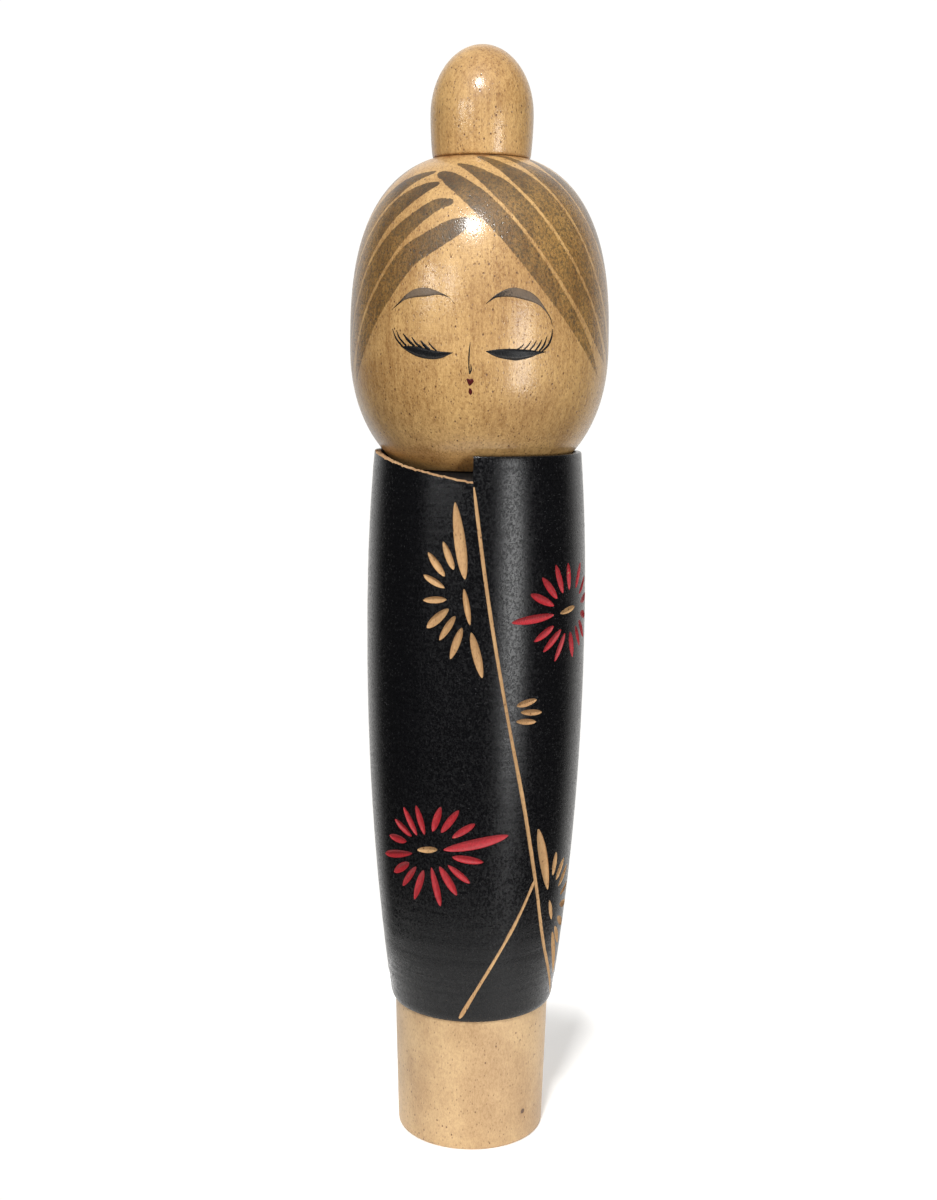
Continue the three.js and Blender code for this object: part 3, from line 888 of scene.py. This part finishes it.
def make_head():
    points, faces = turned(head_outline(), HEAD_STEPS)
    points = np.array(points)
    middles = [points[face].mean(axis=0) for face in faces]
    # Painted shade: the head's neck and underside take the dark well colour.
    slots = [int(z < UNDERCUT_Z + UNDERCUT_RISE and math.hypot(x, y) < HEAD_SHADE_R)
             for x, y, z in middles]
    head = mesh_object("painted_head", points, faces, [head_wood(), well_painted_shade()], slots)
    outside = np.hypot(points[:, 0], points[:, 1]) > SOCKET_R + 0.5
    edge, along = np.full(len(points), FAR_FROM_HAIR), np.zeros(len(points))
    edge[outside], along[outside] = brushed_hair(points[outside])
    for name, values in (("hair_mm", edge), ("hair_along", along)):
        attribute = head.data.attributes.new(name, "FLOAT", "POINT")
        attribute.data.foreach_set("value", values.astype(np.float32))
    head.data.set_sharp_from_angle(angle=math.radians(HEAD_SHARP))
    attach(head, "head_and_bun")
    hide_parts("head")
    return head


def make_bun(material):
    points, faces = turned(bun_outline(), BUN_STEPS)
    bun = mesh_object("hair_bun", points, faces, [material])
    bun.data.set_sharp_from_angle(angle=math.radians(HEAD_SHARP))
    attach(bun, "head_and_bun")
    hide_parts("bun")
    return bun


# Face, painted on the head. Places are degrees across the face and heights in millimetres.

INK_LIFT = 0.03
INK_DEPTH = 0.12
INK_SPREAD = 1.3         # how much wider a drawn line of ink runs than the brush that drew it


def ribbon(points, faces, thickness_of_ink, lower, upper, ink_of):
    """A thin closed patch of paint between two lines of (angle, height) with as many points."""
    across = 4
    first = len(points)
    count = len(lower)
    for lift in (INK_LIFT, -INK_DEPTH):
        for k in range(count):
            for a in range(across + 1):
                place = lower[k] + (upper[k] - lower[k]) * a / across
                points.append(on_surface(head_radius, place[0], place[1], lift))
                thickness_of_ink.append(ink_of(k / (count - 1), a / across))
    row = across + 1
    back = count * row
    for k in range(count - 1):
        for a in range(across):
            i = first + k * row + a
            faces.append((i, i + row, i + row + 1, i + 1))
            faces.append((i + back, i + back + 1, i + back + row + 1, i + back + row))
    rim = [k * row for k in range(count)] + [(count - 1) * row + a for a in range(1, row)]
    rim += [k * row + across for k in range(count - 2, -1, -1)] + list(range(across - 1, 0, -1))
    for k in range(len(rim)):
        i, n = first + rim[k], first + rim[(k + 1) % len(rim)]
        faces.append((n, i, i + back, n + back))


def between(lower, upper, count=25):
    """The two edges of a shape, sampled alike."""
    return smooth_path(lower, count), smooth_path(upper, count)


def stroke(places, widths, count=20):
    """The two edges of a brush stroke from its middle line and its widths in millimetres."""
    path = smooth_path(places, count)
    wide = smooth_path([[w * INK_SPREAD] for w in widths], count)[:, 0]
    left, right = [], []
    for k in range(count):
        a, b = path[max(k - 1, 0)], path[min(k + 1, count - 1)]
        degrees_per_mm = math.degrees(1 / head_radius(path[k][1]))
        ahead = np.array([(b[0] - a[0]) / degrees_per_mm, b[1] - a[1]])
        ahead /= np.linalg.norm(ahead)
        side = np.array([-ahead[1] * degrees_per_mm, ahead[0]]) * max(wide[k], 0.03) / 2
        left.append(path[k] + side)
        right.append(path[k] - side)
    return np.array(right), np.array(left)


def paint(name, shapes, material):
    """One piece of face paint from (lower, upper, ink_of) shapes."""
    points, faces, thick = [], [], []
    for lower, upper, ink_of in shapes:
        ribbon(points, faces, thick, lower, upper, ink_of)
    piece = mesh_object(name, points, faces, [material])
    attribute = piece.data.attributes.new("ink", "FLOAT", "POINT")
    attribute.data.foreach_set("value", np.array(thick, dtype=np.float32))
    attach(piece, "head_and_bun")
    return piece


def solid_ink(_along, _across):
    return 1.0


def eyelid_ink(_along, across):
    """Thin along the bottom of the eye, and solid above."""
    return 0.25 + 2.4 * max(0, across - 0.15)


def brow_ink(along, _across):
    """Solid at both ends of the brow, and thin in its middle."""
    return 1.05 - 0.8 * math.sin(math.pi * along)


def make_face():
    black = ink("eye_ink", colour(5, 6, 9), colour(66, 68, 70))
    grey = ink("brow_ink", colour(30, 25, 22), colour(124, 114, 102))
    red = ink("lip_paint", colour(72, 12, 12), colour(90, 18, 18))
    right_eye = between([(-31, 184.2), (-26.5, 182.9), (-22.5, 182.1), (-18, 181.7), (-14.5, 181.7),
                         (-11.7, 182), (-9.5, 182.5), (-7.3, 183.05)],
                        [(-31, 184.3), (-27, 184.4), (-23, 184.3), (-19, 183.9), (-15.5, 183.5),
                         (-12.5, 183.3), (-10, 183.2), (-7.3, 183.1)])
    left_eye = between([(6.2, 183.4), (8.3, 182.8), (11.8, 182.1), (15.2, 181.8), (19, 181.6),
                        (22.3, 181.9), (25.5, 182.3), (28.4, 182.9), (32.5, 183.45)],
                       [(6.2, 183.45), (8.3, 183.65), (11.8, 183.9), (15.2, 184), (19, 184),
                        (22.3, 183.9), (25.5, 183.8), (28.4, 183.6), (32.5, 183.5)])
    lashes = [
        ([(-30.4, 184.3), (-33.6, 185.9), (-35.7, 187.9)], (0.3, 0.3, 0.1)),
        ([(-28.3, 184.4), (-31.8, 186), (-33.5, 187.6)], (0.3, 0.3, 0.1)),
        ([(-24.2, 184.3), (-27.5, 185.6), (-30, 186.9)], (0.35, 0.45, 0.15)),
        ([(-20.8, 184), (-23.5, 184.9), (-25.7, 186.2)], (0.35, 0.35, 0.15)),
        ([(-17.4, 183.6), (-19.7, 184.5), (-21.5, 185.5)], (0.45, 0.5, 0.2)),
        ([(-14.3, 183.4), (-16.4, 184.3), (-18, 185.3)], (0.25, 0.25, 0.1)),
        ([(19.3, 183.9), (21, 184.4), (22.2, 185.1)], (0.2, 0.2, 0.1)),
        ([(22, 183.8), (24, 184.7), (25.4, 185.7)], (0.2, 0.22, 0.1)),
        ([(24.8, 183.8), (26.6, 184.8), (27.8, 185.8)], (0.22, 0.25, 0.1)),
        ([(27.1, 183.6), (29, 184.8), (30.3, 186)], (0.25, 0.32, 0.12)),
        ([(29, 183.5), (31.3, 184.9), (32.7, 186.7)], (0.28, 0.34, 0.12)),
        ([(30.1, 183.4), (33.2, 184.8), (34.9, 186.5), (35.3, 188.2)], (0.25, 0.35, 0.3, 0.1)),
    ]
    nose = [
        ([(-0.2, 185.3), (-0.6, 182.7), (-0.7, 180.7), (-0.3, 178.7)], (0.08, 0.22, 0.2, 0.22)),
        ([(0.1, 180.8), (0.3, 179.7), (-0.1, 178.8)], (0.05, 0.24, 0.1)),
    ]
    right_brow = between([(-36.5, 191.8), (-32.7, 193), (-29, 194), (-24.5, 194.4), (-19, 194.6),
                          (-14, 194.9), (-9.6, 194.35), (-6.8, 193)],
                         [(-36.5, 191.85), (-32.4, 193.5), (-29, 195), (-24.8, 196.1), (-19.5, 196.4),
                          (-14.5, 195.7), (-9.6, 194.5), (-6.8, 193.1)], 40)
    left_brow = between([(6, 193.05), (9.8, 194.3), (13.3, 194.6), (16.7, 194.6), (20.3, 194.3),
                         (24.8, 193.8), (27.8, 193.3), (30.2, 192.6), (32.6, 191.4), (34.3, 190.2),
                         (35.1, 188.8)],
                        [(6, 193.15), (9.3, 194.7), (12.8, 195.8), (16.7, 196.5), (20.3, 196.4),
                         (25, 195.7), (28.2, 194.6), (30.6, 193.2), (32.9, 191.6), (34.6, 190.3),
                         (35.3, 188.8)], 40)
    lips = [between([(-1.7, 177.6), (-1.2, 176.9), (-0.3, 176.3), (1, 176.9), (1.4, 177.2)],
                    [(-1.7, 177.65), (-1.1, 177.8), (-0.3, 177.62), (0.9, 177.75), (1.4, 177.25)]),
            between([(-0.35, 175.8), (-0.75, 175.3), (-0.75, 174.8), (0.1, 174.3)],
                    [(-0.25, 175.85), (0.6, 175.4), (0.75, 174.8), (0.15, 174.35)])]
    paint("eyes", [(*right_eye, eyelid_ink), (*left_eye, eyelid_ink)], black)
    paint("eyelashes", [(*stroke(*lash), solid_ink) for lash in lashes], black)
    paint("eyebrows", [(*right_brow, brow_ink), (*left_brow, brow_ink)], grey)
    paint("nose_line", [(*stroke(*line), solid_ink) for line in nose], grey)
    paint("lips", [(*shape, solid_ink) for shape in lips], red)


# Surroundings

LIGHT_AWAY = 900
FLOOR_R = 95
FLOOR_DIM = 0.78         # how much less than white the floor glows near the foot
BACKDROP = 1.05          # just over white, so that the backdrop and the floor meet unseen


def make_floor():
    shader = Shader("floor_paper")
    tone = shader.noise((0.02, 0.02, 0.02), 3, 0.5)
    paper = shader.mix(tone, colour(248, 247, 245), colour(252, 251, 249))
    shader.put(shader.surface, "Base Color", paper)
    shader.put(shader.surface, "Roughness", 0.8)
    shader.put(shader.surface, "Emission Color", colour(255, 255, 255))
    near = shader.spot(0, 0, 0, FLOOR_R)
    glow = shader.math("SUBTRACT", 1.0, shader.math("MULTIPLY", near, FLOOR_DIM))
    shader.put(shader.surface, "Emission Strength", glow)
    count = 96
    turns = [i / count * 2 * math.pi for i in range(count)]
    rim = [(FLOOR_R * math.cos(t), FLOOR_R * math.sin(t), 0) for t in turns]
    floor = mesh_object("floor", rim, [tuple(range(count))], [shader.material])


def make_world():
    """A white studio, which lights the doll from the wall behind it and from a pale ceiling."""
    world = bpy.data.worlds.new("studio")
    world.use_nodes = True
    nodes, links = world.node_tree.nodes, world.node_tree.links
    place = nodes.new("ShaderNodeTexCoord")
    towards = nodes.new("ShaderNodeSeparateXYZ")
    links.new(place.outputs["Generated"], towards.inputs[0])

    def fade(axis, low, high, dim, bright):
        node = nodes.new("ShaderNodeMapRange")
        node.interpolation_type = "SMOOTHSTEP"
        node.inputs["From Min"].default_value = low
        node.inputs["From Max"].default_value = high
        node.inputs["To Min"].default_value = dim
        node.inputs["To Max"].default_value = bright
        links.new(towards.outputs[axis], node.inputs["Value"])
        return node.outputs["Result"]

    def both(operation, first, second):
        node = nodes.new("ShaderNodeMath")
        node.operation = operation
        links.new(first, node.inputs[0])
        if isinstance(second, float):
            node.inputs[1].default_value = second
        else:
            links.new(second, node.inputs[1])
        return node.outputs[0]

    wall_and_ceiling = both("ADD", fade("Y", 0.42, 0.8, 0.04, 1.0), fade("Z", 0.35, 0.95, 0.0, 0.5))
    backdrop = both("MULTIPLY", nodes.new("ShaderNodeLightPath").outputs["Is Camera Ray"], BACKDROP)
    background = nodes["Background"]
    background.inputs["Color"].default_value = (1.0, 0.985, 0.965, 1.0)
    links.new(both("MAXIMUM", wall_and_ceiling, backdrop), background.inputs["Strength"])
    bpy.context.scene.world = world


def make_light(name, turn, rise, size, power):
    """A soft panel round the doll's head: degrees from the face, degrees up, its size and its watts."""
    light = bpy.data.lights.new(name, "AREA")
    light.shape = "RECTANGLE"
    light.size, light.size_y = size[0] * MM, size[1] * MM
    light.energy = power
    lamp = bpy.data.objects.new(name, light)
    target = Vector((0, 0, HEAD_MID_Z)) * MM
    turn, rise = math.radians(turn), math.radians(rise)
    towards = Vector((math.sin(turn) * math.cos(rise), -math.cos(turn) * math.cos(rise), math.sin(rise)))
    lamp.location = target + towards * LIGHT_AWAY * MM
    lamp.rotation_euler = (-towards).to_track_quat("-Z", "Y").to_euler()
    bpy.context.scene.collection.objects.link(lamp)


def make_camera():
    camera = bpy.data.cameras.new("camera")
    camera.lens = CAMERA_LENS
    camera.clip_start = 0.01
    rig = bpy.data.objects.new("camera", camera)
    turn = Matrix.Rotation(math.radians(CAMERA_TURN), 4, "Z")
    tilt = Matrix.Rotation(math.radians(90 - CAMERA_PITCH), 4, "X")
    roll = Matrix.Rotation(math.radians(CAMERA_ROLL), 4, "Z")
    place = turn @ Vector((-CAMERA_ASIDE, -CAMERA_AWAY, CAMERA_HEIGHT)) * MM
    rig.matrix_world = Matrix.Translation(place) @ turn @ tilt @ roll
    bpy.context.scene.collection.objects.link(rig)
    bpy.context.scene.camera = rig


def dress_dowels(material):
    """Bare wood on the two hidden pegs, which stay the CAD's own."""
    for node in ("neck_dowel", "bun_dowel"):
        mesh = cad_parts[node].data
        mesh.materials.clear()
        mesh.materials.append(material)


bpy.context.scene.view_settings.view_transform = "Standard"
make_camera()
make_world()
make_light("key", -5, 43, (105, 105), 7.8)
make_light("left_panel", -41, 14, (100, 170), 1.15)
make_light("middle_panel", -23, 15, (80, 170), 0.9)
make_light("right_panel", 41, -7, (260, 460), 4.2)
make_floor()
make_body()
make_head()
make_bun(varnished_wood())
make_face()
dress_dowels(cut_wood("dowel_wood", CUT_LIGHT, CUT_DARK))
